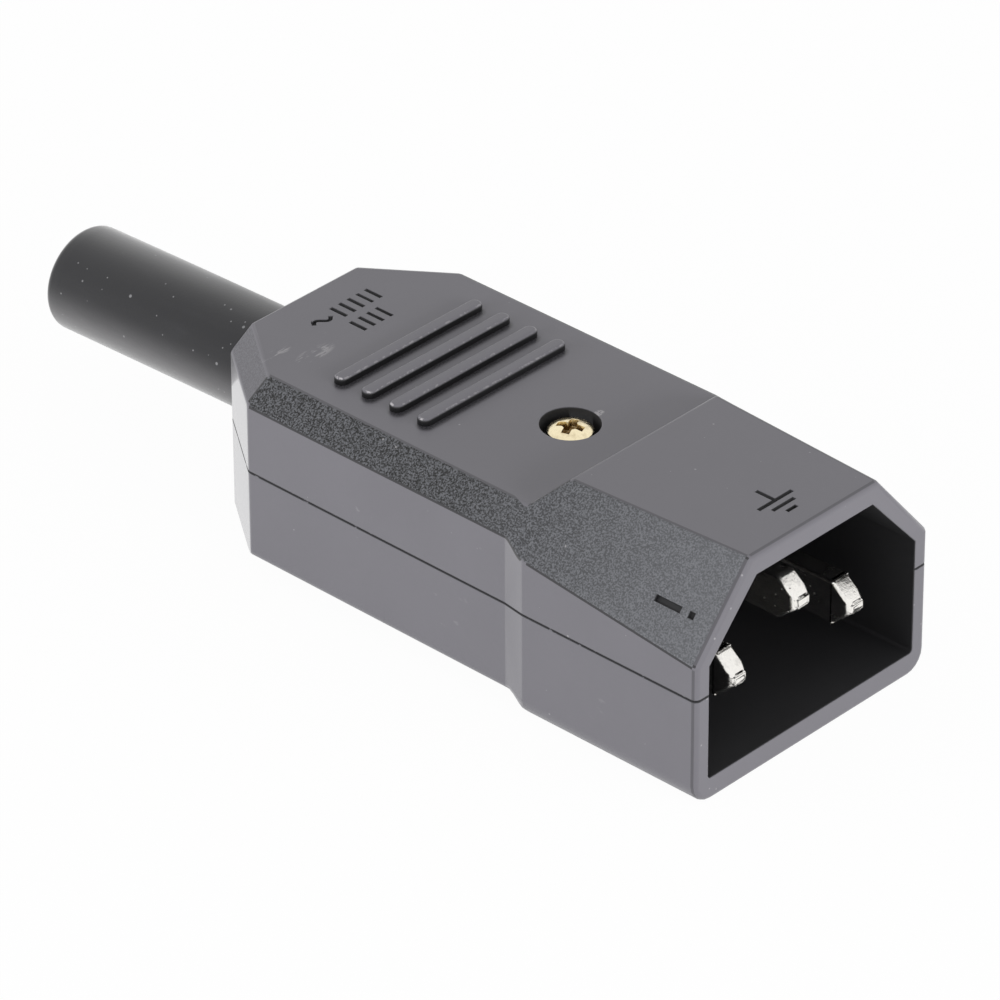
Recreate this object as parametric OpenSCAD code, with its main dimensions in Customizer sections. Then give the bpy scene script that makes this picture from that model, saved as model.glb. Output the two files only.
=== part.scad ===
// Rewirable C14 power plug: a male appliance inlet that is screwed onto a cord.
// Two moulded half shells meet on a level parting plane. They trap an insert with
// three flat blades at the front and the flange of a rubber boot at the rear.
// Sizes are in millimetres. X points towards the mating face, Z points up.

/* [Inlet shroud] */
// Inside width of the shroud
inlet_w = 24.4; // [23.6:0.1:25.2]
// Inside height of the shroud
inlet_h = 16.4; // [15.8:0.1:17]
// Depth from the mating face to the insert
inlet_depth = 16.6; // [15:0.1:16.9]
// Height of the straight inner sides, below the keyed corners
inlet_side_h = 10.5; // [9.6:0.1:11.4]
// Inside width of the ceiling, between the keyed corners
inlet_top_w = 13.7; // [12.6:0.1:14.8]
// Thickness of the side walls
shroud_side = 1.55; // [1.4:0.05:2]
// Thickness of the top wall
shroud_top = 1.85; // [1.7:0.05:2.3]
// Thickness of the bottom wall
shroud_floor = 2.15; // [1.7:0.05:2.4]
// Length of the front block, up to where it narrows
block_len = 18.4; // [18.2:0.1:20]
// Radius of the two long bottom edges of the front block
block_edge_r = 2; // [1:0.1:2.6]
// Radius of the outer edge of the mouth
mouth_r = 0.5; // [0.2:0.05:0.8]

/* [Body] */
// Distance from the mating face to the rear wall's outside
body_len = 56.1; // [54:0.1:62]
// Length of the stretch in which the front block narrows to the body
flare_len = 2.1; // [1.6:0.1:3]
// Drop from the top of the block to the top of the body
top_step = 2.1; // [1.2:0.1:2.6]
// Rise from the bottom of the block to the bottom of the body
bottom_step = 1.65; // [1:0.05:2.2]
// Step in from each side of the block to the side of the body
side_inset = 0.3; // [0.1:0.05:0.8]
// How much closer each side comes to the middle at the rear, for mould release
side_draft = 0.2; // [0:0.05:0.4]
// Width of the bevel along the top edges, seen from above
bevel_run = 2.3; // [1.2:0.1:2.8]
// Height of that bevel, seen from the side
bevel_drop = 2; // [1.2:0.1:2.6]
// Radius of the long bottom edges of the body
body_edge_r = 0.8; // [0.3:0.1:1.6]
// Length of the cut-off rear corners along the body
corner_len = 6.9; // [5:0.1:7.2]
// Width of the rear wall between the cut-off corners
rear_w = 16.4; // [15:0.1:18]
// Thickness of the walls round the wiring room
wall = 1.6; // [1.3:0.05:1.8]

/* [Grip ribs] */
// Number of ribs
rib_count = 4; // [2:1:5]
// Length of a rib over its round ends
rib_len = 16.8; // [12:0.1:20]
// Width of a rib
rib_w = 1.3; // [0.8:0.1:1.6]
// Height of a rib over the top face
rib_h = 0.55; // [0.3:0.05:0.8]
// Distance from one rib to the next
rib_pitch = 3.08; // [2.6:0.02:3.4]
// Distance from the mating face to the first rib
rib_start = 34.55; // [32:0.05:36]

/* [Blades] */
// Thickness of a blade
blade_t = 2; // [1.8:0.05:2.1]
// Height of a blade
blade_h = 4; // [3.8:0.05:4.2]
// Distance between the live and neutral blades
blade_pitch = 14; // [13.6:0.1:14.4]
// How far the live and neutral blades lie below the middle of the inlet
blade_drop = 2; // [1.6:0.1:2.4]
// How far the earth blade lies above the other two
earth_rise = 4; // [3.6:0.1:4.4]
// Distance from the mating face to the tips of the live and neutral blades
line_tip = 1.4; // [1:0.05:2.4]
// Distance from the mating face to the tip of the earth blade
earth_tip = 1.05; // [0.6:0.05:1.6]
// Radius of the blade noses, above and below
nose_r = 1.9; // [0.8:0.1:1.9]
// Bevel on the sides of the blade noses
nose_bevel = 0.35; // [0.1:0.05:0.6]
// Thickness of the strip behind the blades
strip_t = 0.8; // [0.6:0.05:0.9]

/* [Insert] */
// Thickness of the flange that the shells grip
flange_t = 1.4; // [1.2:0.05:1.5]
// How far the flange stands out all round
flange_lip = 0.6; // [0.4:0.05:0.7]
// Thickness of the shell wall behind the flange
front_wall_t = 1.4; // [1:0.05:1.8]
// How far the hub behind the flange reaches
hub_len = 3.2; // [2.8:0.05:3.6]
// How much smaller the hub is than the inlet, all round
hub_inset = 2.2; // [2:0.05:2.5]

/* [Terminals] */
// Width of a terminal block
terminal_w = 5.2; // [4.6:0.1:5.4]
// Height of a terminal block
terminal_h = 7; // [6.4:0.1:7.2]
// Length of a terminal block
terminal_len = 6.5; // [6:0.1:7.4]
// Diameter of the wire hole
wire_d = 3; // [2.4:0.1:3.2]
// Depth of the wire hole
wire_depth = 4; // [3.4:0.1:4.2]
// Diameter of the terminal screws
terminal_screw_d = 2.6; // [2:0.1:3]
// Diameter of the terminal screws' heads
terminal_head_d = 3.8; // [3.4:0.1:4]
// Height of the terminal screws' heads
terminal_head_h = 1.6; // [1.2:0.1:1.8]

/* [Housing screw] */
// Distance from the mating face to the screw
screw_back = 25.9; // [25.6:0.1:26.2]
// Diameter of the screw
screw_d = 3; // [2.6:0.1:3.2]
// Diameter of the screw's head
screw_head_d = 3.8; // [3.6:0.1:4.6]
// Height of the screw's head
screw_head_h = 1.6; // [1.4:0.1:1.8]
// Diameter of the recess over the head
recess_d = 5; // [4.8:0.05:5.4]
// How far the top of the head lies below the top face
head_sink = 0.1; // [0.1:0.05:0.8]
// Diameter of the posts round the screw
post_d = 5.4; // [5:0.1:5.6]
// Width of the nut across its flats
nut_af = 5.5; // [5:0.1:5.6]
// Thickness of the nut
nut_t = 2.4; // [2:0.1:2.6]

/* [Cord clamp] */
// Gap between the clamp bar and the rib in front of the boot's flange
clamp_gap = 2; // [1.4:0.1:3]
// Distance between the clamp's two screws
clamp_pitch = 16.6; // [16.2:0.1:17]
// Size of the clamp bar along the cord
clamp_w = 4.8; // [4.2:0.1:5]
// Thickness of the clamp bar at its ends
clamp_t = 2; // [1.6:0.1:2.4]
// Thickness of the clamp bar's arch
clamp_arch_t = 1.7; // [1.4:0.1:1.9]
// Number of gripping ridges under the arch and in the saddle
ridge_count = 3; // [2:1:3]
// Height of those ridges
ridge_h = 0.35; // [0.2:0.05:0.5]
// Diameter of the passage for the cord
cord_pass_d = 7.4; // [6.4:0.1:7.6]
// Diameter of the clamp screws
clamp_screw_d = 2.6; // [2.2:0.1:2.8]
// Diameter of the clamp screws' heads
clamp_head_d = 4.6; // [4.2:0.1:4.8]
// Height of the clamp screws' heads
clamp_head_h = 1.6; // [1.4:0.1:1.9]
// Length of the clamp screws under the head
clamp_screw_len = 8; // [7:0.1:8]

/* [Boot] */
// Outer diameter of the boot
boot_d = 9.5; // [9:0.1:10]
// Bore of the boot
boot_bore_d = 7.2; // [6.4:0.1:7.4]
// Length of the boot outside the body
boot_out = 25.9; // [20:0.1:40]
// Diameter of the boot's inner flange
boot_flange_d = 12.8; // [12:0.1:13]
// Thickness of the boot's inner flange
boot_flange_t = 2; // [1.6:0.1:2.6]
// Radius of the boot's outer edge at its end
boot_end_r = 0.7; // [0.3:0.05:1]
// Thickness of the rib in front of the boot's flange
boot_rib_t = 1.2; // [1:0.1:1.6]
// Thickness of the rear wall that the boot passes through
rear_wall_t = 2.6; // [2:0.1:3.6]

/* [Fits] */
// Clearance round pieces that lie in the shells
fit = 0.1; // [0.05:0.01:0.15]
// Clearance round screws
screw_fit = 0.15; // [0.1:0.01:0.2]

/* [Hidden] */
$fn = 64;
reach = 120;
arc_steps = 5;

// The front block and the body, seen from the front
block_w = inlet_w + 2 * shroud_side;
block_h = shroud_floor + inlet_h + shroud_top;
body_bottom = bottom_step;
body_top = block_h - top_step;
body_w = block_w - 2 * side_inset;
seam_z = (body_bottom + body_top) / 2;

// The keyed corners: inside they are straight, outside they grow towards the rear
key_side_z = shroud_floor + inlet_side_h;
key_top_y = inlet_top_w / 2;
front_key_side_z = key_side_z + 0.26 * shroud_side;
front_key_top_y = key_top_y + 0.38 * shroud_top;
key_growth_z = 2;
key_growth_y = 1;
rear_key_side_z = front_key_side_z + key_growth_z;
rear_key_top_y = front_key_top_y + key_growth_y;

// Stations along the housing, as distances behind the mating face
crest_lead = 0.45;
crest_back = block_len - crest_lead;
top_fall_len = top_step;
flare_end = block_len + flare_len;
flange_back = inlet_depth + flange_t;
room_front = flange_back + front_wall_t;
pocket_front = body_len - rear_wall_t - boot_flange_t - fit;
room_rear = pocket_front - boot_rib_t;
total_len = body_len + boot_out;

// Heights inside the housing
floor_z = body_bottom + wall;
ceiling_z = body_top - wall;
line_z = shroud_floor + inlet_h / 2 - blade_drop;
earth_z = line_z + earth_rise;

// Blades, strips and terminals
hub_back = flange_back + hub_len;
shoulder_t = 0.6;
shoulder_lip = 0.4;
terminal_front = hub_back + shoulder_t;
strip_in = 2;
strip_h = 3;
strip_fit = 0.05;
line_block_z = line_z - terminal_h / 2;
head_room = 0.8;
earth_block_z = ceiling_z - head_room - terminal_head_h - terminal_h;
terminal_screw_back = terminal_len - wire_depth / 2;
wire_low = 0.6;
wire_axis = terminal_h / 2 - wire_low;
tip_gap = 0.05;
screw_reach = sqrt(wire_d * wire_d - terminal_screw_d * terminal_screw_d) / 2 - tip_gap;

// The earth strip steps aside before the housing screw's post and back behind it
post_gap = 0.3;
step_lead = 0.3;
step_len = 1.8;
aside_y = post_d / 2 + post_gap + strip_t / 2;
step_start = terminal_front + step_lead;
aside_start = step_start + step_len;
aside_end = 2 * screw_back - aside_start;
step_end = aside_end + step_len;
earth_front = step_end + 2 * step_lead;

// Housing screw and nut
seat_z = body_top - head_sink - screw_head_h;
collar_wall = 1.05;
collar_d = recess_d + 2 * collar_wall;
seat_t = 1.4;
nut_sink = 0.4;
nut_pocket_top = body_bottom + nut_t + nut_sink;
nut_pocket_d = (nut_af + 2 * fit) / cos(30);
nut_wall = 0.85;
nut_roof = 1;
tip_sink = 0.1;
screw_len = seat_z - nut_pocket_top + nut_t - tip_sink;

// Cord clamp and boot
axis_z = seam_z;
clamp_back = room_rear - clamp_gap - clamp_w / 2;
clamp_y = clamp_pitch / 2;
post_margin = 0.3;
clamp_post_d = clamp_head_d + 2 * post_margin;
clamp_arch_d = cord_pass_d + 2 * clamp_arch_t;
saddle_sink = 1.5;
rib_bore_d = cord_pass_d + 1;
hole_spare = 0.3;
ridge_pitch = clamp_w / (ridge_count + 1);

// Locating pegs, halfway between the terminals and the clamp, half in the side walls
peg_d = 2;
peg_len = 1.8;
peg_pad_d = 3.8;
peg_back = (terminal_front + terminal_len + clamp_back - clamp_post_d / 2) / 2;
peg_y = body_w / 2 - side_draft - wall - 0.37 * peg_pad_d;
pad_drop = 1.5;

shell_colour = [0.20, 0.20, 0.21];
insert_colour = [0.10, 0.10, 0.10];
nickel = [0.80, 0.78, 0.74];
brass = [0.80, 0.64, 0.30];
zinc_yellow = [0.86, 0.74, 0.42];
steel = [0.70, 0.71, 0.72];
rubber = [0.09, 0.09, 0.09];

function lerp(a, b, t) = a + (b - a) * t;
function part_of(x, start, len) = max(0, min(1, (x - start) / len));
function ease(t) = t * t * (3 - 2 * t);

// Right half of a shroud outline, from the bottom middle up to the ceiling: a round
// bottom corner, a straight side up to side_z and a keyed corner in to top_y.
// inset moves every edge inwards by the same distance.
function half_outline(w, z0, z1, r, side_z, top_y, inset) =
    let (rise = z1 - side_z, run = w - top_y, slant = norm([rise, run]),
        ri = max(r - inset, 0.05), wi = w - inset, zi = z0 + inset)
    concat(
        [for (i = [0:arc_steps]) let (a = -90 + 90 * i / arc_steps)
            [wi - ri + ri * cos(a), zi + ri + ri * sin(a)]],
        [[wi, side_z - inset * (slant - rise) / run],
        [top_y - inset * (slant - run) / rise, z1 - inset]]);

function mirrored(half) =
    concat(half, [for (i = [len(half) - 1:-1:0]) [-half[i].x, half[i].y]]);

// The housing's outer outline at a distance behind the mating face
function housing_outline(back, inset) =
    let (along_block = part_of(back, 0, crest_back),
        narrowed = part_of(back, block_len, flare_len),
        fallen = part_of(back, crest_back, top_fall_len),
        drafted = part_of(back, flare_end, body_len - flare_end),
        side_z = lerp(front_key_side_z, rear_key_side_z, along_block),
        top_y = lerp(front_key_top_y, rear_key_top_y, along_block))
    mirrored(half_outline(
        lerp(block_w / 2, body_w / 2, narrowed) - side_draft * drafted,
        body_bottom * ease(narrowed),
        lerp(block_h, body_top, fallen),
        lerp(block_edge_r, body_edge_r, narrowed),
        lerp(side_z, body_top - bevel_drop, ease(narrowed)),
        lerp(top_y, body_w / 2 - bevel_run, fallen),
        inset));

// The inlet's own outline, grown outwards by a distance
function inlet_outline(grow) = mirrored(half_outline(inlet_w / 2, shroud_floor,
    shroud_floor + inlet_h, 0.3 + grow, key_side_z, key_top_y, -grow));

// A solid through outlines that all have the same number of points.
// stations holds pairs of a distance behind the mating face and an outline.
module loft(stations) {
    n = len(stations[0][1]);
    points = [for (s = stations) for (p = s[1]) [-s[0], p.x, p.y]];
    front_cap = [[for (j = [n - 1:-1:0]) j]];
    rear_cap = [[for (j = [0:n - 1]) (len(stations) - 1) * n + j]];
    sides = [for (i = [0:len(stations) - 2]) for (j = [0:n - 1])
        let (a = i * n + j, b = i * n + (j + 1) % n)
        each [[a, b, b + n], [a, b + n, a + n]]];
    polyhedron(points = points, faces = concat(front_cap, sides, rear_cap));
}

// Runs a profile, drawn in Y and Z, from one distance behind the face to another
module run_back(from, to) {
    translate([-to, 0, 0]) rotate([90, 0, 90]) linear_extrude(to - from) children();
}

// A cylinder along X between two distances behind the mating face
module rod_back(from, to, d, y, z) {
    translate([-from, y, z]) rotate([0, -90, 0]) cylinder(d = d, h = to - from);
}

// Everything outside the plane that passes through the line from a to b, seen from
// above, at height z, and leans inwards by run for each drop that it rises
module outside_plane(a, b, z, run, drop) {
    translate([a.x, a.y, z])
        rotate([0, 0, atan2(b.y - a.y, b.x - a.x)])
            rotate([atan2(drop, run), 0, 0])
                translate([-reach, -reach, 0]) cube([2 * reach, 2 * reach, reach]);
}

module both_sides() {
    children();
    mirror([0, 1, 0]) children();
}

// Moves a piece from the mating face's own frame to the part's frame
module placed() {
    translate([total_len / 2, 0, 0]) children();
}

// Outside of the closed housing
module housing_envelope() {
    mouth = [for (i = [0:3]) let (a = 90 * i / 3)
        [mouth_r * (1 - cos(a)), mouth_r * (1 - sin(a))]];
    block = [block_len / 4, block_len / 2, 3 * block_len / 4, crest_back];
    flare = [for (i = [0:6]) block_len + flare_len * i / 6];
    stations = concat(
        [for (m = mouth) [m[0], housing_outline(m[0], m[1])]],
        [for (s = concat(block, flare, [body_len])) [s, housing_outline(s, 0)]]);
    corner_a = [-(body_len - corner_len), body_w / 2 - side_draft];
    corner_b = [-body_len, rear_w / 2];
    bevel_z = body_top - bevel_drop;
    difference() {
        loft(stations);
        both_sides() {
            outside_plane(corner_a, corner_b, 0, 0, 1);
            outside_plane(corner_a, corner_b, bevel_z, bevel_run - 0.3, bevel_drop);
        }
        outside_plane([-body_len, 1], [-body_len, -1], bevel_z, 0.5, bevel_drop);
    }
}

// Room for the wiring, between the front wall and the rib at the boot
module wiring_room() {
    loft([[room_front, housing_outline(flare_end, wall)],
        [room_rear, housing_outline(room_rear, wall)]]);
}

// Spaces that both shells share: inlet, insert seat, wiring room and boot seat
module housing_spaces() {
    run_back(-1, inlet_depth) polygon(inlet_outline(0));
    run_back(inlet_depth - 0.01, flange_back) polygon(inlet_outline(flange_lip + fit));
    run_back(flange_back - 0.01, room_front + 0.01) polygon(inlet_outline(fit - hub_inset));
    wiring_room();
    rod_back(room_rear - 0.1, pocket_front + 0.1, rib_bore_d, 0, axis_z);
    rod_back(pocket_front, body_len - rear_wall_t, boot_flange_d + 2 * fit, 0, axis_z);
    rod_back(body_len - rear_wall_t - 0.1, body_len + 1, boot_d + 2 * fit, 0, axis_z);
}

module upper_half() {
    translate([-reach, -reach / 2, seam_z]) cube([reach + 1, reach, reach]);
}

module lower_half() {
    translate([-reach, -reach / 2, seam_z - reach]) cube([reach + 1, reach, reach]);
}

// An upright round post whose centre lies at a distance behind the mating face
module post(back, y, d, from, to) {
    translate([-back, y, from]) cylinder(d = d, h = to - from);
}

module grip_rib() {
    end_y = rib_len / 2 - rib_w / 2;
    linear_extrude(rib_h) {
        square([rib_w, 2 * end_y], center = true);
        for (s = [-1, 1]) translate([0, s * end_y]) circle(d = rib_w, $fn = 32);
    }
}

module upper_shell() {
    color(shell_colour) placed() difference() {
        union() {
            intersection() {
                difference() {
                    housing_envelope();
                    housing_spaces();
                }
                upper_half();
            }
            for (i = [0:rib_count - 1])
                translate([-(rib_start + i * rib_pitch), 0, body_top]) grip_rib();
            post(screw_back, 0, post_d, seam_z, ceiling_z + 0.2);
            post(screw_back, 0, collar_d, seat_z - seat_t, ceiling_z + 0.2);
            both_sides() {
                post(peg_back, peg_y, peg_pad_d, seam_z, ceiling_z - pad_drop);
                post(peg_back, peg_y, peg_d, seam_z - peg_len, seam_z + 0.1);
            }
        }
        post(screw_back, 0, recess_d, seat_z, body_top + 1);
        post(screw_back, 0, screw_d + 2 * screw_fit, seam_z - 1, seat_z + 0.1);
    }
}

// Solid under the cord between the clamp's posts
module saddle_block() {
    run_back(clamp_back - clamp_w / 2, clamp_back + clamp_w / 2)
        translate([-clamp_y, floor_z - 0.2])
            square([clamp_pitch, axis_z - saddle_sink + 0.2 - floor_z]);
}

// Ridges that bite into the cord: rings round the passage, under the clamp
module grip_rings() {
    r = cord_pass_d / 2;
    for (i = [1:ridge_count])
        translate([-(clamp_back - clamp_w / 2 + i * ridge_pitch), 0, axis_z])
            rotate([0, 90, 0]) rotate_extrude()
                polygon([[r - ridge_h, 0], [r + 0.1, -ridge_h - 0.1], [r + 0.1, ridge_h + 0.1]]);
}

module lower_shell() {
    color(shell_colour) placed() difference() {
        union() {
            intersection() {
                difference() {
                    housing_envelope();
                    housing_spaces();
                }
                lower_half();
            }
            post(screw_back, 0, post_d, floor_z - 0.2, seam_z);
            post(screw_back, 0, nut_pocket_d + 2 * nut_wall, floor_z - 0.2, nut_pocket_top + nut_roof);
            both_sides() {
                post(peg_back, peg_y, peg_pad_d, floor_z - 0.2, seam_z);
                post(clamp_back, clamp_y, clamp_post_d, floor_z - 0.2, seam_z);
            }
            difference() {
                saddle_block();
                rod_back(clamp_back - clamp_w, clamp_back + clamp_w, cord_pass_d, 0, axis_z);
            }
            intersection() {
                grip_rings();
                saddle_block();
            }
        }
        post(screw_back, 0, screw_d + 2 * screw_fit, nut_pocket_top - 0.1, seam_z + 1);
        translate([-screw_back, 0, body_bottom - 1])
            cylinder(d = nut_pocket_d, h = nut_pocket_top - body_bottom + 1, $fn = 6);
        both_sides() {
            post(peg_back, peg_y, peg_d + 2 * fit, seam_z - peg_len - hole_spare, seam_z + 1);
            post(clamp_back, clamp_y, clamp_screw_d,
                seam_z + clamp_t - clamp_screw_len - hole_spare, seam_z + 1);
        }
    }
}

// Upright slot or blade section, centred on a blade
module blade_section(grow) {
    square([blade_t + 2 * grow, blade_h + 2 * grow], center = true);
}

module contact_carrier() {
    color(insert_colour) placed() difference() {
        union() {
            run_back(inlet_depth, flange_back) polygon(inlet_outline(flange_lip));
            run_back(flange_back, hub_back) polygon(inlet_outline(-hub_inset));
        }
        run_back(inlet_depth - 1, hub_back + 1) {
            for (y = [-1, 1] * blade_pitch / 2) translate([y, line_z]) blade_section(0);
            translate([0, earth_z]) blade_section(0);
        }
    }
}

// Side view of a blade from its round nose to the back of the insert
module blade_side(tip) {
    half = blade_h / 2;
    difference() {
        translate([tip, -half]) square([hub_back - tip, blade_h]);
        for (s = [-1, 1]) scale([1, s]) difference() {
            translate([tip - 1, half - nose_r]) square([nose_r + 1, nose_r + 1]);
            translate([tip + nose_r, half - nose_r]) circle(r = nose_r);
        }
    }
}

// Top view of a blade with its bevelled nose
module blade_plan(tip) {
    t = blade_t / 2;
    b = nose_bevel;
    polygon([[-tip, b - t], [-tip, t - b], [-tip - 2 * b, t], [-hub_back, t],
        [-hub_back, -t], [-tip - 2 * b, -t]]);
}

module blade(tip) {
    intersection() {
        rotate([90, 0, 0]) translate([0, 0, -blade_t])
            linear_extrude(2 * blade_t) mirror([1, 0]) blade_side(tip);
        translate([0, 0, -blade_h]) linear_extrude(2 * blade_h) blade_plan(tip);
    }
    run_back(hub_back, hub_back + shoulder_t)
        square([blade_t + 2 * shoulder_lip, blade_h + 2 * shoulder_lip], center = true);
}

module line_pin(side) {
    color(nickel) placed() translate([0, side * blade_pitch / 2, line_z]) {
        blade(line_tip);
        run_back(terminal_front, terminal_front + strip_in)
            square([strip_t, strip_h], center = true);
    }
}

module live_pin() { line_pin(-1); }

module neutral_pin() { line_pin(1); }

// Earth strip, seen from above: it steps aside to pass the housing screw's post
module earth_strip_plan() {
    t = strip_t / 2;
    path = [[terminal_front, 0], [step_start, 0], [aside_start, aside_y],
        [aside_end, aside_y], [step_end, 0], [earth_front + strip_in, 0]];
    polygon(concat([for (p = path) [-p.x, p.y + t]],
        [for (i = [len(path) - 1:-1:0]) [-path[i].x, path[i].y - t]]));
}

module earth_pin() {
    color(nickel) placed() translate([0, 0, earth_z]) {
        blade(earth_tip);
        translate([0, 0, -strip_h / 2]) linear_extrude(strip_h) earth_strip_plan();
    }
}

// Pillar terminal: a slot for the strip in front, a wire hole behind, a screw on top
module terminal(front, y, bottom, strip_z) {
    rear = front + terminal_len;
    wire_z = bottom + wire_axis;
    color(brass) placed() difference() {
        run_back(front, rear) translate([y - terminal_w / 2, bottom])
            square([terminal_w, terminal_h]);
        run_back(front - 1, front + strip_in + strip_fit) translate([y, strip_z])
            square([strip_t, strip_h] + [2, 2] * strip_fit, center = true);
        rod_back(rear - wire_depth, rear + 1, wire_d, y, wire_z);
        post(front + terminal_screw_back, y, terminal_screw_d, wire_z, bottom + terminal_h + 1);
    }
}

module slotted_screw(d, length, head_d, head_h) {
    difference() {
        union() {
            translate([0, 0, -length]) cylinder(d = d, h = length);
            cylinder(d = head_d, h = head_h);
        }
        translate([-head_d, -0.4, head_h - 0.8]) cube([2 * head_d, 0.8, 2]);
    }
}

module terminal_screw(front, y, bottom) {
    color(steel) placed()
        translate([-(front + terminal_screw_back), y, bottom + terminal_h])
            slotted_screw(terminal_screw_d, terminal_h - wire_axis + screw_reach,
                terminal_head_d, terminal_head_h);
}

module live_terminal() {
    terminal(terminal_front, -blade_pitch / 2, line_block_z, line_z);
}

module neutral_terminal() {
    terminal(terminal_front, blade_pitch / 2, line_block_z, line_z);
}

module earth_terminal() {
    terminal(earth_front, 0, earth_block_z, earth_z);
}

module live_terminal_screw() {
    terminal_screw(terminal_front, -blade_pitch / 2, line_block_z);
}

module neutral_terminal_screw() {
    terminal_screw(terminal_front, blade_pitch / 2, line_block_z);
}

module earth_terminal_screw() {
    terminal_screw(earth_front, 0, earth_block_z);
}

// Pan head with a domed top and a cross recess, seated at z = 0
module pan_screw(d, length, head_d, head_h, cross_w) {
    edge_h = head_h * 0.7;
    cap_h = head_h - edge_h;
    dome_r = (head_d * head_d / 4 + cap_h * cap_h) / (2 * cap_h);
    difference() {
        union() {
            translate([0, 0, -length]) cylinder(d = d, h = length);
            intersection() {
                cylinder(d = head_d, h = head_h + 1);
                translate([0, 0, head_h - dome_r]) sphere(r = dome_r);
            }
        }
        for (a = [0, 90]) rotate([0, 0, a]) translate([-head_d * 0.3, -cross_w / 2, head_h - 0.9])
            cube([head_d * 0.6, cross_w, 2]);
        translate([0, 0, head_h - 1.2]) cylinder(d1 = 0.6, d2 = 2 * cross_w, h = 1.3);
    }
}

module housing_screw() {
    color(zinc_yellow) placed() translate([-screw_back, 0, seat_z]) rotate([0, 0, 20])
        pan_screw(screw_d, screw_len, screw_head_d, screw_head_h, 0.7);
}

module housing_nut() {
    color(zinc_yellow) placed() translate([-screw_back, 0, nut_pocket_top - nut_t])
        difference() {
            cylinder(d = nut_af / cos(30), h = nut_t, $fn = 6);
            translate([0, 0, -1]) cylinder(d = screw_d, h = nut_t + 2);
        }
}

// Side view of the arched bar over the cord, with a flat foot at each end
module clamp_profile() {
    run_back(clamp_back - clamp_w / 2, clamp_back + clamp_w / 2) {
        translate([-clamp_y, seam_z]) square([2 * clamp_y, clamp_t]);
        intersection() {
            translate([0, axis_z]) circle(d = clamp_arch_d);
            translate([-clamp_arch_d, seam_z]) square(2 * clamp_arch_d);
        }
    }
}

module clamp_bar() {
    color(shell_colour) placed() {
        difference() {
            union() {
                clamp_profile();
                both_sides() post(clamp_back, clamp_y, clamp_w, seam_z, seam_z + clamp_t);
            }
            rod_back(clamp_back - clamp_w, clamp_back + clamp_w, cord_pass_d, 0, axis_z);
            both_sides() post(clamp_back, clamp_y, clamp_screw_d + 2 * screw_fit,
                seam_z - 1, seam_z + clamp_t + 1);
        }
        intersection() {
            grip_rings();
            clamp_profile();
        }
    }
}

module clamp_screw(side) {
    color(steel) placed()
        translate([-clamp_back, side * clamp_y, seam_z + clamp_t]) rotate([0, 0, 35 * side])
            pan_screw(clamp_screw_d, clamp_screw_len, clamp_head_d, clamp_head_h, 0.7);
}

module clamp_screw_left() { clamp_screw(-1); }

module clamp_screw_right() { clamp_screw(1); }

// Rubber sleeve, drawn as a half profile of radius against distance and then turned
module cable_boot() {
    flange_front = pocket_front + fit / 2;
    r = boot_d / 2;
    bore = boot_bore_d / 2;
    end_arc = [for (i = [0:4]) let (a = 90 * i / 4)
        [r - boot_end_r + boot_end_r * cos(a), total_len - boot_end_r + boot_end_r * sin(a)]];
    profile = concat([[bore, flange_front], [boot_flange_d / 2, flange_front],
        [boot_flange_d / 2, flange_front + boot_flange_t], [r, flange_front + boot_flange_t]],
        end_arc, [[bore, total_len]]);
    color(rubber) placed() translate([0, 0, axis_z]) rotate([0, -90, 0])
        rotate_extrude() polygon(profile);
}

upper_shell();
lower_shell();
contact_carrier();
live_pin();
neutral_pin();
earth_pin();
live_terminal();
neutral_terminal();
earth_terminal();
live_terminal_screw();
neutral_terminal_screw();
earth_terminal_screw();
housing_screw();
housing_nut();
clamp_bar();
clamp_screw_left();
clamp_screw_right();
cable_boot();
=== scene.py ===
import math

import bmesh
import bpy
from bpy.props import FloatProperty, FloatVectorProperty, IntProperty, PointerProperty
from mathutils import Matrix, Vector
from mathutils.bvhtree import BVHTree


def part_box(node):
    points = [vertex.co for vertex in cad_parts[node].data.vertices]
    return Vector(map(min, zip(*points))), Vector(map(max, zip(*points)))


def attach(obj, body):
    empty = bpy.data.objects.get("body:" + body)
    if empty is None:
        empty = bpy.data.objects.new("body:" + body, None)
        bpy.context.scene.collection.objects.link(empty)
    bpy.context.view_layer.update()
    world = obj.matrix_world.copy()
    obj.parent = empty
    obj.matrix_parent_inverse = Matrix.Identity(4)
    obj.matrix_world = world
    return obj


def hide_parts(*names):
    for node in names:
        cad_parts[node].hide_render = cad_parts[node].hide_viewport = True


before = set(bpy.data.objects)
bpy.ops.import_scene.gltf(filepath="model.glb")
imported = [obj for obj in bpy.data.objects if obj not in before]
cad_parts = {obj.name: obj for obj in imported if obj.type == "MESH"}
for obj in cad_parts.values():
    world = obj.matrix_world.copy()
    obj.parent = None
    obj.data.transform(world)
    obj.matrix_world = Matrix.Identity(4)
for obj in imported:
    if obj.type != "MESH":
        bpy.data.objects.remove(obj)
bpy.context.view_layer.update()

bl_info = {
    "name": "Rewirable Inlet Plug",
    "version": (1, 0, 0),
    "blender": (4, 5, 0),
    "location": "View3D > Sidebar > Inlet Plug",
    "description": "Dresses a rewirable C14 power plug: shells, ribs, blades, screws and boot",
    "category": "Object",
}

MM = 0.001
BODY = "root"

# Where the moulded features lie, from the nodes' own boxes
SHELL_LOW, SHELL_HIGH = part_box("upper_shell")
FRONT_X = SHELL_HIGH.x
SEAM_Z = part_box("lower_shell")[1].z
SCREW_LOW, SCREW_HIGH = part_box("housing_screw")
SCREW_AXIS = (SCREW_LOW + SCREW_HIGH) / 2
BOOT_LOW, BOOT_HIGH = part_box("cable_boot")
BODY_TOP = SHELL_HIGH.z - 2.1 * MM
CORNER_X = SHELL_LOW.x + 6.9 * MM
POLES = ("live", "neutral", "earth")


# -------------------------------- settings

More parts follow.
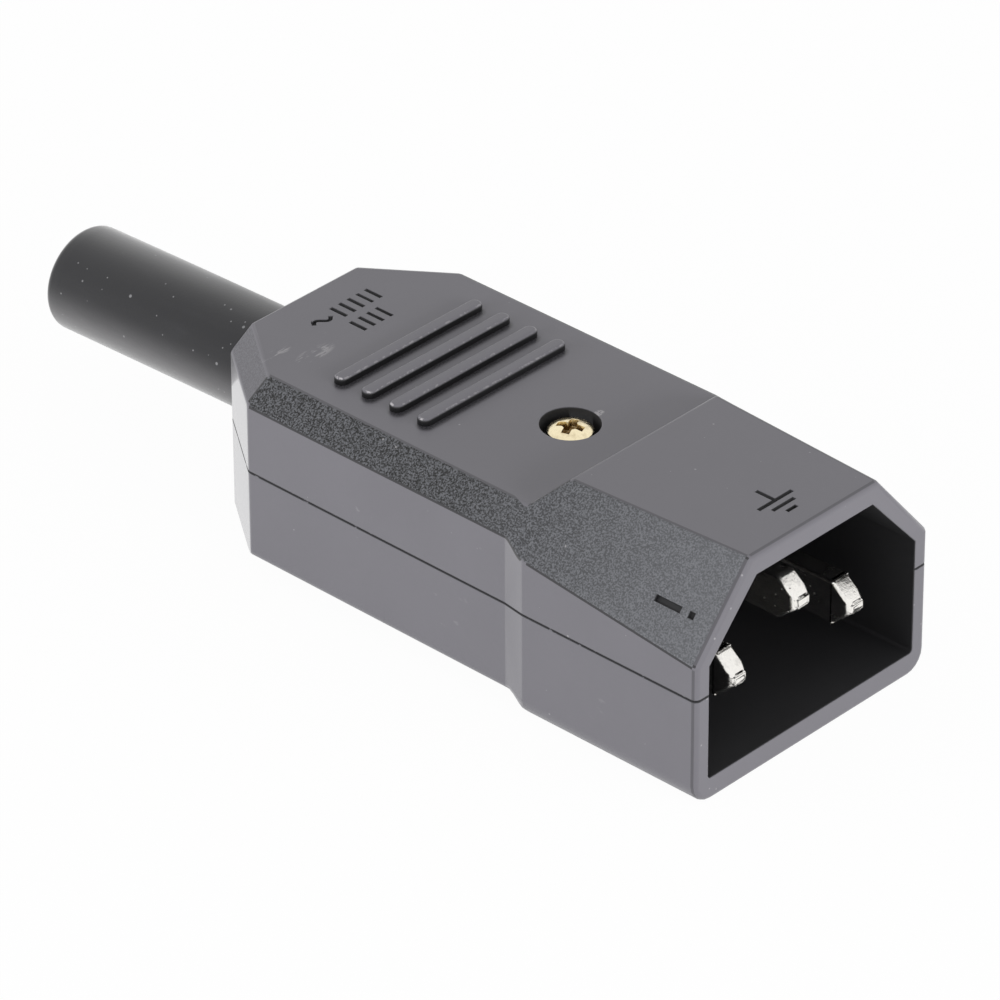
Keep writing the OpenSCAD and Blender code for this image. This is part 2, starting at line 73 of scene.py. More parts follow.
def distance(name, description, default, low, high):
    """A length whose default and limits are given in millimetres"""
    return FloatProperty(name=name, description=description, default=default * MM,
                         min=low * MM, max=high * MM, precision=5, unit="LENGTH")


def tint(name, description, default):
    """A colour in linear light"""
    return FloatVectorProperty(name=name, description=description, default=default,
                               min=0.0, max=1.0, subtype="COLOR")


class ShellSettings(bpy.types.PropertyGroup):
    """The two moulded half shells"""
    edge_round: distance("Edge Rounding", "Width of the softened moulded edges", 0.22, 0.02, 0.4)
    mark_depth: distance("Mark Depth", "How deep the symbols are engraved", 0.28, 0.05, 0.5)
    mark_stroke: distance("Mark Stroke", "Width of the engraved strokes", 0.30, 0.1, 0.6)
    grain_size: distance(
        "Grain Size", "Size of the spark-eroded grain on the sloping faces", 0.15, 0.1, 1.0)
    colour: tint("Plastic Colour", "Colour of the moulded plastic", (0.128, 0.124, 0.140))
    # The dust colour also paints the highlights on the ribs' shoulders
    dust_and_glint_colour: tint("Dust Colour", "Colour of dust, scuffs and rubbed edges", (0.36, 0.35, 0.36))


class RibSettings(bpy.types.PropertyGroup):
    """The row of grip ribs on the top face"""
    count: IntProperty(
        name="Ribs", description="Number of grip ribs", default=4, min=1, max=8)
    pitch: distance("Pitch", "Distance from one rib to the next", 3.08, 2.0, 5.0)
    length: distance("Length", "Length of a rib over its round ends", 16.8, 8.0, 20.0)
    width: distance("Width", "Width of a rib", 1.3, 0.6, 2.0)
    height: distance("Height", "Height of a rib over the top face", 0.64, 0.2, 1.0)
    edge_round: distance("Edge Rounding", "Radius along the top edge of a rib", 0.30, 0.02, 0.6)
    start: distance("First Rib", "Distance from the mating face to the first rib", 34.5, 30.0, 40.0)


class MetalSettings(bpy.types.PropertyGroup):
    """Blades, terminals and screws"""
    edge_round: distance(
        "Edge Rounding", "Width of the softened edges of the metal pieces", 0.12, 0.02, 0.3)
    nose_run: distance(
        "Nose Slope Length", "Length of the slopes at the tip of a blade", 1.9, 1.0, 2.0)
    nose_rise: distance(
        "Nose Slope Height", "Height of the slopes at the tip of a blade", 1.55, 0.8, 1.8)
    nickel: tint("Nickel", "Colour of the plated blades", (0.90, 0.88, 0.84))
    brass: tint("Brass", "Colour of the bare terminals", (0.72, 0.52, 0.22))
    zinc: tint("Yellow Zinc", "Colour of the closing screw and its nut", (0.90, 0.79, 0.54))
    steel: tint("Steel", "Colour of the inner screws", (0.60, 0.60, 0.61))


class BootSettings(bpy.types.PropertyGroup):
    """The rubber boot"""
    outer_d: distance("Outer Diameter", "Diameter of the sleeve", 9.4, 8.0, 11.0)
    bore_d: distance("Bore", "Diameter of the cord hole", 7.2, 5.0, 8.0)
    flange_d: distance(
        "Flange Diameter", "Diameter of the flange inside the shells", 12.8, 11.0, 13.5)
    flange_t: distance("Flange Thickness", "Thickness of that flange", 2.0, 1.0, 3.0)
    end_round: distance("End Rounding", "Radius of the outer edge at the free end", 0.7, 0.2, 1.0)
    droop: distance("Droop", "How far the free end hangs under its own weight", 0.65, 0.0, 3.0)
    lift: distance("Lift", "How far the boot sits above the middle of its opening", 0.2, 0.0, 0.3)
    colour: tint("Rubber Colour", "Colour of the rubber", (0.014, 0.014, 0.016))


class StageSettings(bpy.types.PropertyGroup):
    """Floor, lamps and camera"""
    floor_colour: tint("Floor Colour", "Colour of the plain floor", (0.86, 0.86, 0.86))
    sky: FloatProperty(
        name="Sky Light", description="Strength of the even light from all sides",
        default=0.62, min=0.0, max=3.0)
    key: FloatProperty(
        name="Key Light", description="Power of the large soft lamp on the left",
        default=3.75, min=0.0, max=20.0, unit="POWER")
    fill: FloatProperty(
        name="Fill Light", description="Power of the soft lamp on the right",
        default=3.4, min=0.0, max=20.0, unit="POWER")


# -------------------------------- node trees

def add_node(tree, kind, settings=None, sockets=None):
    """A new node in a tree: settings first, then the values or links of its sockets"""
    made = tree.nodes.new(kind)
    for name, value in (settings or {}).items():
        setattr(made, name, value)
    for name, value in (sockets or {}).items():
        if isinstance(value, bpy.types.NodeSocket):
            tree.links.new(value, made.inputs[name])
        else:
            made.inputs[name].default_value = value
    return made


class Wire:
    """One output in a shader tree. Python's operators on it add Math nodes."""

    def __init__(self, shading, socket):
        self.shading = shading
        self.socket = socket

    def beside(self, output):
        """Another output of the same node"""
        return Wire(self.shading, self.socket.node.outputs[output])

    def _math(self, operation, a, b=0.0, clamp=False):
        return self.shading.node(
            "ShaderNodeMath", {"operation": operation, "use_clamp": clamp}, {0: a, 1: b})

    def __add__(self, other):
        return self._math("ADD", self, other)

    def __radd__(self, other):
        return self._math("ADD", other, self)

    def __sub__(self, other):
        return self._math("SUBTRACT", self, other)

    def __rsub__(self, other):
        return self._math("SUBTRACT", other, self)

    def __mul__(self, other):
        return self._math("MULTIPLY", self, other)

    def __rmul__(self, other):
        return self._math("MULTIPLY", other, self)

    def __gt__(self, other):
        return self._math("GREATER_THAN", self, other)

    def __lt__(self, other):
        return self._math("LESS_THAN", self, other)

    def __abs__(self):
        return self._math("ABSOLUTE", self)

    def clamped(self):
        return self._math("ADD", self, 0.0, clamp=True)

    def between(self, low, high):
        """0 below low, 1 above high and smooth in between"""
        return self.shading.node(
            "ShaderNodeMapRange", {"interpolation_type": "SMOOTHSTEP"},
            {"Value": self, "From Min": low, "From Max": high})


class Shading:
    """The nodes of a material or of the world"""

    def __init__(self, owner):
        owner.use_nodes = True
        self.tree = owner.node_tree
        self.tree.nodes.clear()

    def node(self, kind, settings=None, sockets=None, output=0):
        plain = {name: getattr(value, "socket", value) for name, value in (sockets or {}).items()}
        return Wire(self, add_node(self.tree, kind, settings, plain).outputs[output])

    def background(self):
        """1 for a ray that shows the background, and 0 for one that lights the object"""
        rays = self.node("ShaderNodeLightPath", output="Is Camera Ray")
        return (rays + rays.beside("Is Glossy Ray") + rays.beside("Is Transmission Ray")).clamped()

    def end(self, kind, shader):
        """Sends a shader to the tree's output node"""
        add_node(self.tree, kind, {}, {"Surface": shader.socket})


class Finish(Shading):
    """A material, built node by node"""

    def __init__(self, name):
        self.material = bpy.data.materials.new(name)
        super().__init__(self.material)
        self.place = self.node("ShaderNodeTexCoord", output="Object")
        self.facing = self.place.beside("Normal")

    def mark(self, name):
        """A number that the mesh's faces carry"""
        return self.node("ShaderNodeAttribute", {"attribute_name": name}, output="Fac")

    def noise(self, size, detail=2.0, roughness=0.5, place=None):
        """Soft noise with features of about this size"""
        return self.node("ShaderNodeTexNoise", {}, {
            "Vector": place or self.place, "Scale": 1.0 / size,
            "Detail": detail, "Roughness": roughness})

    def specks(self, pitch, share, radius, softness=0.35):
        """Small round specks: one cell in 1 / share of them holds one"""
        near = self.node("ShaderNodeTexVoronoi", {}, {
            "Vector": self.place, "Scale": 1.0 / pitch, "Randomness": 1.0}, "Distance")
        luck = self.split(near.beside("Color"))[0]
        size = radius / pitch
        return (1 - near.between(size * (1 - softness), size)) * (luck < share)

    def spot(self, x, y, at_x, at_y, half_x, half_y):
        """A soft oval patch around a place on the top face"""
        across, along = (x - at_x) * (1 / half_x), (y - at_y) * (1 / half_y)
        return 1 - (across * across + along * along).between(0.35, 1.1)

    def split(self, vector):
        """The three parts of a vector"""
        first = self.node("ShaderNodeSeparateXYZ", {}, {0: vector})
        return [first.beside(axis) for axis in range(3)]

    def moved(self, vector, scale):
        """The coordinates, stretched along the axes"""
        return self.node("ShaderNodeVectorMath", {"operation": "MULTIPLY"},
                         {0: vector, 1: scale})

    def mix(self, factor, a, b):
        """Colour a where the factor is 0 and colour b where it is 1"""
        return self.node("ShaderNodeMix", {"data_type": "RGBA"}, {0: factor, 6: a, 7: b}, 2)

    def bump(self, height, distance, strength):
        return self.node("ShaderNodeBump", {}, {
            "Strength": strength, "Distance": distance, "Height": height})

    def surface(self, **sockets):
        """The Principled shader, from sockets given with _ for a space"""
        named = {name.replace("_", " "): value for name, value in sockets.items()}
        self.end("ShaderNodeOutputMaterial", self.node("ShaderNodeBsdfPrincipled", {}, named))
        return self.material


def rgba(colour, factor=1.0):
    return (colour[0] * factor, colour[1] * factor, colour[2] * factor, 1.0)


def clouded(f, colour):
    """The shells' plastic: its clouds, its colour and its fine skin"""
    cloud = f.noise(0.009, 3.0, 0.5)
    return cloud, f.mix(cloud, rgba(colour, 0.93), rgba(colour, 1.07)), f.noise(0.00011, 2.0, 0.6)


def moulded_plastic(name, settings, ribs):
    """Black plastic of the shells. Their faces carry four marks: eroded on the rough
    sloping faces, line along the borders of those and round the mouth, which is painted as a
    thin dark line of shade, polished on upright faces that turn to the rear, and inner on all
    that faces inwards, which is painted near black as shade"""
    f = Finish(name)
    x, y, z = f.split(f.place)
    eroded, line, inner, polished = (f.mark(m) for m in ("eroded", "line", "inner", "polished"))
    cloud, colour, fine = clouded(f, settings.colour)
    pits = f.noise(settings.grain_size, 2.0, 0.55)
    coarse = f.noise(settings.grain_size * 2.4, 2.0, 0.5)

    # Spark-eroded faces: darker and coarser towards the boot
    rearward = f.node("ShaderNodeMath", {"operation": "POWER"},
                      {0: ((FRONT_X - x) * (1 / 0.027)).clamped(), 1: 1.3})
    pitted = (pits * 0.86 + coarse * 0.14).between(0.395, 0.63)
    r, g, b = settings.colour
    cool = (r * 0.97, g * 1.03, b)
    low = f.mix(rearward, rgba(cool, 0.61), rgba(cool, 0.01))
    high = f.mix(rearward, rgba(cool, 1.09), rgba(cool, 0.87))
    colour = f.mix(eroded, colour, f.mix(pitted, low, high))
    # A thin dark line of painted shade along the strips marked line
    colour = f.mix(line * 0.90, colour, rgba(settings.colour, 0.10))

    # Painted shadow and reflection of the rib walls round the ribs' feet, in front of each and at
    # its live end
    step = (x - (FRONT_X - ribs.start)) * (1 / ribs.pitch)
    nearest = f.node("ShaderNodeMath", {"operation": "FRACT"}, {0: step + 0.5}) - 0.5
    ahead = (nearest * ribs.pitch - 0.4 * MM) * (1 / MM)
    beyond = (abs(y + 0.3 * MM) - (ribs.length - ribs.width) / 2).clamped() * (1 / MM)
    row = (step < 0.5) * (step > 0.5 - ribs.count) * (z > BODY_TOP - 0.1 * MM)
    root = (1 - (ahead * ahead + beyond * beyond).between(0.15, 1.0)) * row
    colour = f.mix((root * (0.60 + pitted * 0.4)).clamped(), colour, rgba(settings.colour, 0.12))

    # Dust, rubbed streaks beside the rating marks, a dent by the screw, worn patches
    dust = f.specks(0.0017, 0.22, 0.00011) + f.specks(0.0007, 0.06, 0.00005)
    streaks = f.noise(0.00045, 3.0, 0.7, f.moved(f.place, (1.2, 0.22, 1.0)))
    patch = f.spot(x, y, FRONT_X - 0.0484, -0.0061, 0.0009, 0.0022) \
        + f.spot(x, y, FRONT_X - 0.0507, -0.0084, 0.0006, 0.0018)
    rubs = f.noise(0.0008, 3.0, 0.6, f.moved(f.place, (0.5, 1.5, 1.0)))
    worn = f.noise(0.011, 1.0, 0.4).between(0.60, 0.72) * rubs.between(0.64, 0.74)
    dent = f.spot(x, y, SCREW_AXIS.x + 0.0006, 0.0027, 0.0004, 0.0006)
    marred = patch * streaks.between(0.50, 0.60) + dent * 1.5 * pits.between(0.38, 0.52)
    scuffs = marred * (z > BODY_TOP - 0.0002) + worn * 0.35
    colour = f.mix(((dust + scuffs) * 0.55).clamped(), colour, rgba(settings.dust_and_glint_colour))

    # Grime along the parting line, and painted shade on the inner faces, near black
    flecks = f.noise(0.0011, 2.0, 0.6).between(0.63, 0.68)
    seam = (1 - abs(z - SEAM_Z).between(0.00009, 0.00016)) * (1 - flecks * 0.8)
    dark = (inner + seam * 0.96).clamped()
    colour = f.mix(dark, colour, rgba((0.0145, 0.0145, 0.016)))

    roughness = (0.29 + 0.06 * cloud + 0.16 * eroded * rearward + 0.30 * dark).clamped()
    height = fine * 0.16 + cloud * 0.2 + pitted * eroded * (0.20 + 0.90 * rearward)
    return f.surface(Base_Color=colour, Roughness=roughness, Coat_Weight=polished * (1 - seam),
                     Coat_Roughness=0.06, Normal=f.bump(height, 0.00006, 0.55))


def rib_plastic(name, settings, ribs):
    """The ribs: tops like the shell, walls painted near black as shade and reflection, and painted
    highlights on the shoulders and at the live ends
    """
    f = Finish(name)
    y, up = f.split(f.place)[1], f.split(f.facing)[2]
    cloud, top, fine = clouded(f, settings.colour)
    # The walls are painted near black: painted shade and reflection
    wall_shade = 1 - up.between(0.30, 0.82)
    shoulder = up.between(0.50, 0.70) * (1 - up.between(0.90, 0.99))
    flecks = f.noise(0.0004, 2.0, 0.6)
    # Pale flecks along the shoulder are painted highlights
    shoulder_glints = shoulder * flecks.between(0.52, 0.62) * 0.7
    # A brighter painted highlight on the shoulder at the live end
    shine = shoulder * flecks.between(0.44, 0.54) * (y < 0.30 * MM - ribs.length / 2)
    dust = f.specks(0.0013, 0.14, 0.00008)
    colour = f.mix(((dust + shoulder_glints) * 0.5).clamped(), top, rgba(settings.dust_and_glint_colour))
    colour = f.mix(wall_shade, colour, rgba((0.004, 0.004, 0.0045)))
    colour = f.mix(shine * 0.6, colour, rgba(settings.dust_and_glint_colour, 1.5))
    return f.surface(Base_Color=colour, Roughness=(0.33 + 0.06 * cloud).clamped(),
                     Normal=f.bump(fine, 0.00001, 0.55))


def insert_plastic(name):
    """The insert: darker and smoother than the shells, with a little dust"""
    f = Finish(name)
    cloud = f.noise(0.003, 3.0, 0.5)
    dust = f.specks(0.0015, 0.25, 0.00009)
    base = f.mix(cloud, rgba((0.015, 0.015, 0.016)), rgba((0.023, 0.023, 0.024)))
    base = f.mix((dust * 0.5).clamped(), base, rgba((0.22, 0.22, 0.22)))
    return f.surface(Base_Color=base, Roughness=(0.50 + 0.12 * cloud).clamped(),
                     Normal=f.bump(f.noise(0.0002, 2.0, 0.6), 0.00002, 0.5),
                     Specular_IOR_Level=0.4)


def plated_metal(name, colour, stained, roughness, stain_share, drawn=(1.0, 6.0, 6.0), slot=None):
    """Plated or bare metal: drawn lines, cloudy tarnish and small dark pits. A slot is the
    middle of a screw's head and the height below which its drive recess lies, which is painted
    darker as shade"""
    f = Finish(name)
    lines = f.noise(0.0009, 3.0, 0.6, f.moved(f.place, drawn))
    cloud = f.noise(0.0016, 3.0, 0.6)
    pits = f.specks(0.00062, 0.30, 0.00013, 0.6)
    tarnish = (cloud.between(0.48, 0.74) * stain_share + pits * 0.55).clamped()
    base = f.mix(lines, rgba(colour, 0.90), rgba(colour, 1.08))
    base = f.mix(tarnish, base, rgba(stained))
    if slot:
        x, y, z = f.split(f.place)
        # The drive recess is painted darker, as shade
        middle = f.spot(x, y, slot.x, slot.y, 0.0014, 0.0014)
        sunk = middle * (1 - z.between(slot.z - 0.2 * MM, slot.z))
        base = f.mix(sunk * 0.85, base, rgba(stained, 0.7))
    rough = (roughness - 0.08 + 0.16 * lines + 0.22 * tarnish).clamped()
    normal = f.bump(lines * 0.6 - pits * 1.4 + cloud * 1.2, 0.00008, 0.5)
    return f.surface(Base_Color=base, Metallic=1.0, Roughness=rough, Normal=normal)


def rubber(name, colour):
    """Smooth black rubber with a dusty bloom, and a painted reflection of the floor on its lower
    side
    """
    f = Finish(name)
    cloud = f.noise(0.006, 3.0, 0.55)
    fine = f.noise(0.00016, 2.0, 0.5)
    dust = f.specks(0.0014, 0.60, 0.00017) + f.specks(0.0006, 0.20, 0.00009)
    wipes = f.noise(0.0012, 3.0, 0.6, f.moved(f.place, (0.35, 1.2, 1.2)))
    bloom = cloud.between(0.45, 0.80) * wipes.between(0.42, 0.75)
    # The lower side is lightened grey in streaks: a painted reflection of the pale floor
    low = 1 - f.split(f.facing)[2].between(-0.35, 0.40)
    base = f.mix(bloom * 0.45, rgba(colour), rgba(colour, 2.0))
    base = f.mix((low * (0.72 + wipes * 0.5)).clamped(), base, rgba((0.086, 0.084, 0.088)))
    base = f.mix((dust * 0.6).clamped(), base, rgba((0.30, 0.30, 0.31)))
    rough = (0.26 + 0.08 * cloud + 0.12 * bloom).clamped()
    normal = f.bump(fine * 0.5 + wipes * 0.4, 0.00003, 0.4)
    return f.surface(Base_Color=base, Roughness=rough, Normal=normal, Specular_IOR_Level=0.32,
                     Sheen_Weight=0.75, Sheen_Roughness=0.40)


# -------------------------------- mesh helpers

def linked(name, data):
    """A new object in the scene"""
    made = bpy.data.objects.new(name, data)
    bpy.context.scene.collection.objects.link(made)
    return made


def piece(name, mesh, material, slot, *nodes):
    """A finished piece at the origin that stands for CAD nodes"""
    made = linked(name, mesh)
    mesh.materials.clear()
    mesh.materials.append(material)
    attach(made, BODY)
    if nodes:
        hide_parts(*nodes)


def join_flats(bm):
    """Joins faces that lie in one plane"""
    bmesh.ops.dissolve_limit(bm, angle_limit=math.radians(0.2), verts=bm.verts, edges=bm.edges)


def merged(node):
    """A copy of a CAD node's mesh with its triangles joined into flat faces"""
    bm = bmesh.new()
    bm.from_mesh(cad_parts[node].data)
    bmesh.ops.remove_doubles(bm, verts=bm.verts, dist=2e-6)
    join_flats(bm)
    return bm


def finished_mesh(source, name):
    """The evaluated result of an object's modifiers, as a plain mesh"""
    graph = bpy.context.evaluated_depsgraph_get()
    mesh = bpy.data.meshes.new_from_object(source.evaluated_get(graph), depsgraph=graph)
    mesh.name = name
    data = source.data
    bpy.data.objects.remove(source)
    if data.users == 0:
        (bpy.data.meshes if isinstance(data, bpy.types.Mesh) else bpy.data.curves).remove(data)
    return mesh


def loose_object(name, bm):
    """An object that uses a bmesh up"""
    mesh = bpy.data.meshes.new(name)
    bm.to_mesh(mesh)
    bm.free()
    return linked(name, mesh)


def rounded(source, name, width, segments=2, angle=None, clamp=True):
    """The object's mesh with rounded edges: those sharper than the angle or, without one, the
    weighted edges, whose strips get the second material. Shading keeps flats flat"""
    bevel = source.modifiers.new("Rounding", "BEVEL")
    bevel.width, bevel.segments, bevel.use_clamp_overlap = width, segments, clamp
    if angle is None:
        bevel.limit_method, bevel.material = "WEIGHT", 1
    else:
        bevel.limit_method, bevel.angle_limit = "ANGLE", math.radians(angle)
    source.modifiers.new("Even", "WEIGHTED_NORMAL").keep_sharp = True
    return finished_mesh(source, name)


def softened(bm, name, width, angle=30.0, segments=2, clamp=True):
    """A mesh with its sharp edges rounded"""
    source = loose_object(name + "_draft", bm)
    source.data.shade_smooth()
    return rounded(source, name, width, segments, angle, clamp)


# -------------------------------- half shells

def strip_outline(points, width):
    """Outline of a stroke of even width along points in a plane"""
    left, right = [], []
    for i, p in enumerate(points):
        a, b = points[max(i - 1, 0)], points[min(i + 1, len(points) - 1)]
        along = Vector((b[0] - a[0], b[1] - a[1])).normalized()
        side = Vector((-along.y, along.x)) * width / 2
        left.append(Vector(p) + side)
        right.append(Vector(p) - side)
    return left + right[::-1]


def earth_symbol(size):
    """A stem on three bars that get shorter"""
    bars_below = [[(-half * size, -drop * size), (half * size, -drop * size)]
                  for half, drop in ((0.5, 0), (0.32, 0.22), (0.14, 0.44))]
    return [[(0, 0.50 * size), (0, 0.02 * size)]] + bars_below


def wave(width, height, steps=14):
    """One full wave"""
    return [[((i / steps - 0.5) * width, math.sin(i / steps * 2 * math.pi) * height / 2)
             for i in range(steps + 1)]]


def bars(count, pitch, height):
    first = -(count - 1) * pitch / 2
    return [[(first + i * pitch, -height / 2), (first + i * pitch, height / 2)]
            for i in range(count)]


def shifted(strokes, x, y):
    return [[(p[0] + x, p[1] + y) for p in stroke] for stroke in strokes]


def engrave_cutters(strokes, width, depth, centre, across, up):
    """Closed bars along strokes, sunk by depth into the plane of across and up"""
    normal = across.cross(up).normalized()
    bm = bmesh.new()
    for stroke in strokes:
        outline = strip_outline(stroke, width)
        flat = [centre + across * p.x + up * p.y for p in outline]
        low = [bm.verts.new(p - normal * depth) for p in flat]
        high = [bm.verts.new(p + normal * 0.5 * MM) for p in flat]
        n = len(flat)
        bm.faces.new(low)
        bm.faces.new(high[::-1])
        for i in range(n):
            bm.faces.new((low[i], high[i], high[(i + 1) % n], low[(i + 1) % n]))
    bmesh.ops.recalc_face_normals(bm, faces=bm.faces)
    return bm


def mark_places(settings, tree):
    """Generic symbols: a wave and dashes behind the ribs, an earth sign at the front,
    and a bar with a dot on the near chamfer"""
    stroke, depth = settings.mark_stroke, settings.mark_depth
    along, back = Vector((0, 1, 0)), Vector((-1, 0, 0))
    dash_pitch, dash_length, row_up = 1.02 * MM, 1.75 * MM, 1.35 * MM
    rows = shifted(wave(1.9 * MM, 0.7 * MM), -2.6 * MM, row_up) \
        + shifted(bars(5, dash_pitch, dash_length), 1.35 * MM, row_up) \
        + shifted(bars(4, dash_pitch, dash_length), 0.35 * MM, -row_up)
    place = Vector((FRONT_X - 50.25 * MM, 0.6 * MM, BODY_TOP))
    yield engrave_cutters(rows, stroke, depth, place, along, back)
    place = Vector((FRONT_X - 4.2 * MM, 0, SHELL_HIGH.z))
    yield engrave_cutters(earth_symbol(3.9 * MM), stroke, depth, place, along, back)
    place, normal = tree.find_nearest(Vector((FRONT_X - 4.45 * MM, -11.4 * MM, 15.8 * MM)))[:2]
    side = normal.cross(Vector((1, 0, 0))).normalized()
    forward = side.cross(normal).normalized()
    bar_and_dot = [[(-1.7 * MM, 0), (0.8 * MM, 0)], [(1.65 * MM, 0), (2.15 * MM, 0)]]
    yield engrave_cutters(bar_and_dot, 0.5 * MM, depth, place, forward, side)


def outer_faces(bm, tree):
    """Faces that look straight out of the closed housing"""
    bm.normal_update()
    bm.faces.index_update()
    found = set()
    for face in bm.faces:
        start = face.calc_center_median() + face.normal * 1e-5
        if tree.ray_cast(start, face.normal)[0] is None:
            found.add(face.index)
    return found


def strip_width(face):
    return face.calc_area() / max(e.calc_length() for e in face.edges)


def remove_ribs(bm):
    """Takes the ribs off the top face, so that fresh ones can stand in their place"""
    tall = [v for v in bm.verts if v.co.z > BODY_TOP + 0.1 * MM and v.co.x < FRONT_X - 30 * MM]
    bmesh.ops.delete(bm, geom=tall, context="VERTS")
    bmesh.ops.holes_fill(bm, edges=[e for e in bm.edges if e.is_boundary], sides=0)
    join_flats(bm)


def engraved(bm, name, cutters):
    """The mesh with closed cutters taken out of it"""
    source = loose_object(name + "_plain", bm)
    tools = [loose_object(f"{name}_cutter_{i}", cutter) for i, cutter in enumerate(cutters)]
    for tool in tools:
        cut = source.modifiers.new("Symbol", "BOOLEAN")
        cut.operation, cut.object, cut.solver, cut.use_self = "DIFFERENCE", tool, "EXACT", True
    mesh = finished_mesh(source, name + "_cut")
    for tool in tools:
        bpy.data.objects.remove(tool)
    bm = bmesh.new()
    bm.from_mesh(mesh)
    bpy.data.meshes.remove(mesh)
    return bm


def marked_and_weighted(bm, outside):
    """Marks the eroded, polished and inner faces, and weights the outer edges for rounding"""
    eroded, inner, polished = (bm.faces.layers.float.new(m) for m in ("eroded", "inner", "polished"))
    weight = bm.edges.layers.float.new("bevel_weight_edge")
    recess_r = 2.7 * MM
    for face in bm.faces:
        n, middle = face.normal, face.calc_center_median()
        sunk = (middle.xy - SCREW_AXIS.xy).length < recess_r and middle.z < BODY_TOP - 0.2 * MM
        at_mouth = middle.x > FRONT_X - MM and n.x > 0.2
        # Faces that face inwards, and those down in the screw's recess, are marked inner: the finish
        # paints them near black as shade
        if face.index not in outside or sunk:
            face[inner] = 1.0
        elif n.z > 0.25 and abs(n.y) > 0.25 and not at_mouth:
            # Behind the corner the sloping faces get only a third of the grain, which darkens them
            # as painted shade
            face[eroded] = 1.0 if middle.x > CORNER_X else 0.35
        elif abs(n.z) < 0.3 and n.x < -0.08 and abs(n.y) > 0.25:
            face[polished] = 1.0
    for edge in bm.edges:
        if len(edge.link_faces) != 2 or not edge.is_convex or edge.calc_length() < 0.05 * MM:
            continue
        a, b = edge.link_faces
        if a.index not in outside and b.index not in outside:
            continue
        angle = math.degrees(edge.calc_face_angle(0.0))
        narrow = min(strip_width(a), strip_width(b)) < 0.9 * MM
        if angle > 35 or (angle > 4 and not narrow):
            rim = max(a.normal.x, b.normal.x) > 0.9 and edge.verts[0].co.x > FRONT_X - 0.1 * MM
            edge[weight] = 0.25 if a[inner] != b[inner] else 1.0 if rim else 0.5


def mark_borders(mesh):
    """Marks the rounded strips: eroded beside an eroded face, and line on its smooth side,
    where the finish paints a thin dark line of shade. The mouth's outer edge gets a line too"""
    bm = bmesh.new()
    bm.from_mesh(mesh)
    eroded, inner = bm.faces.layers.float["eroded"], bm.faces.layers.float["inner"]

    def beside(face, strip):
        longest = max(e.calc_length() for e in face.edges)
        return {n for e in face.edges if e.calc_length() > 0.7 * longest
                for n in e.link_faces if n is not face and (n.material_index == 1) == strip}

    rough, line = [face[eroded] for face in bm.faces], [0.0] * len(bm.faces)
    for i, face in enumerate(bm.faces):
        if face.material_index == 0:
            at_mouth = face.calc_center_median().x > FRONT_X - MM and not face[inner]
            line[i] = 0.5 if at_mouth and 0.2 < face.normal.x < 0.5 else 0.0
            continue
        own = beside(face, False)
        beyond = {n for strip in beside(face, True) for n in beside(strip, False)} - own
        rough[i] = float(any(n[eroded] > 0.5 for n in own))
        if own and not rough[i] and any(n[eroded] > 0.5 for n in beyond):
            line[i] = 0.5 if all(n.normal.z > 0.8 for n in own) else 1.0
    bm.free()
    mesh.attributes.new("line", "FLOAT", "FACE").data.foreach_set("value", line)
    mesh.attributes["eroded"].data.foreach_set("value", rough)
    mesh.polygons.foreach_set("material_index", [0] * len(mesh.polygons))


def make_half(bm, name, node, settings, tree, plastic, cutters):
    """A half shell: symbols cut in, outer edges softened, faces marked for the finish"""
    if cutters:
        bm = engraved(bm, name, cutters)
    marked_and_weighted(bm, outer_faces(bm, tree))
    source = loose_object(name + "_draft", bm)
    for _ in range(2):
        source.data.materials.append(plastic)
    source.data.shade_smooth()
    source.data.set_sharp_from_angle(angle=math.radians(42))
    mesh = rounded(source, name, settings.edge_round * 2, clamp=False)
    mark_borders(mesh)
    piece(name, mesh, plastic, "shell_plastic", node)


class PLUG_OT_shells(bpy.types.Operator):
    """Make the two half shells, with softened edges and engraved generic symbols"""
    bl_idname = "plug.shells"
    bl_label = "Half Shells"

    def execute(self, context):
        settings = context.scene.plug_shells
        plastic = moulded_plastic("Housing_Plastic", settings, context.scene.plug_ribs)
        upper, lower = merged("upper_shell"), merged("lower_shell")
        remove_ribs(upper)
        both = bmesh.new()
        for half in (upper, lower):
            mesh = bpy.data.meshes.new("half")
            half.to_mesh(mesh)
            both.from_mesh(mesh)
            bpy.data.meshes.remove(mesh)
        tree = BVHTree.FromBMesh(both)
        both.free()
        marks = list(mark_places(settings, tree))
        make_half(upper, "Upper_Half", "upper_shell", settings, tree, plastic, marks)
        make_half(lower, "Lower_Half", "lower_shell", settings, tree, plastic, [])
        return {"FINISHED"}


# -------------------------------- geometry nodes

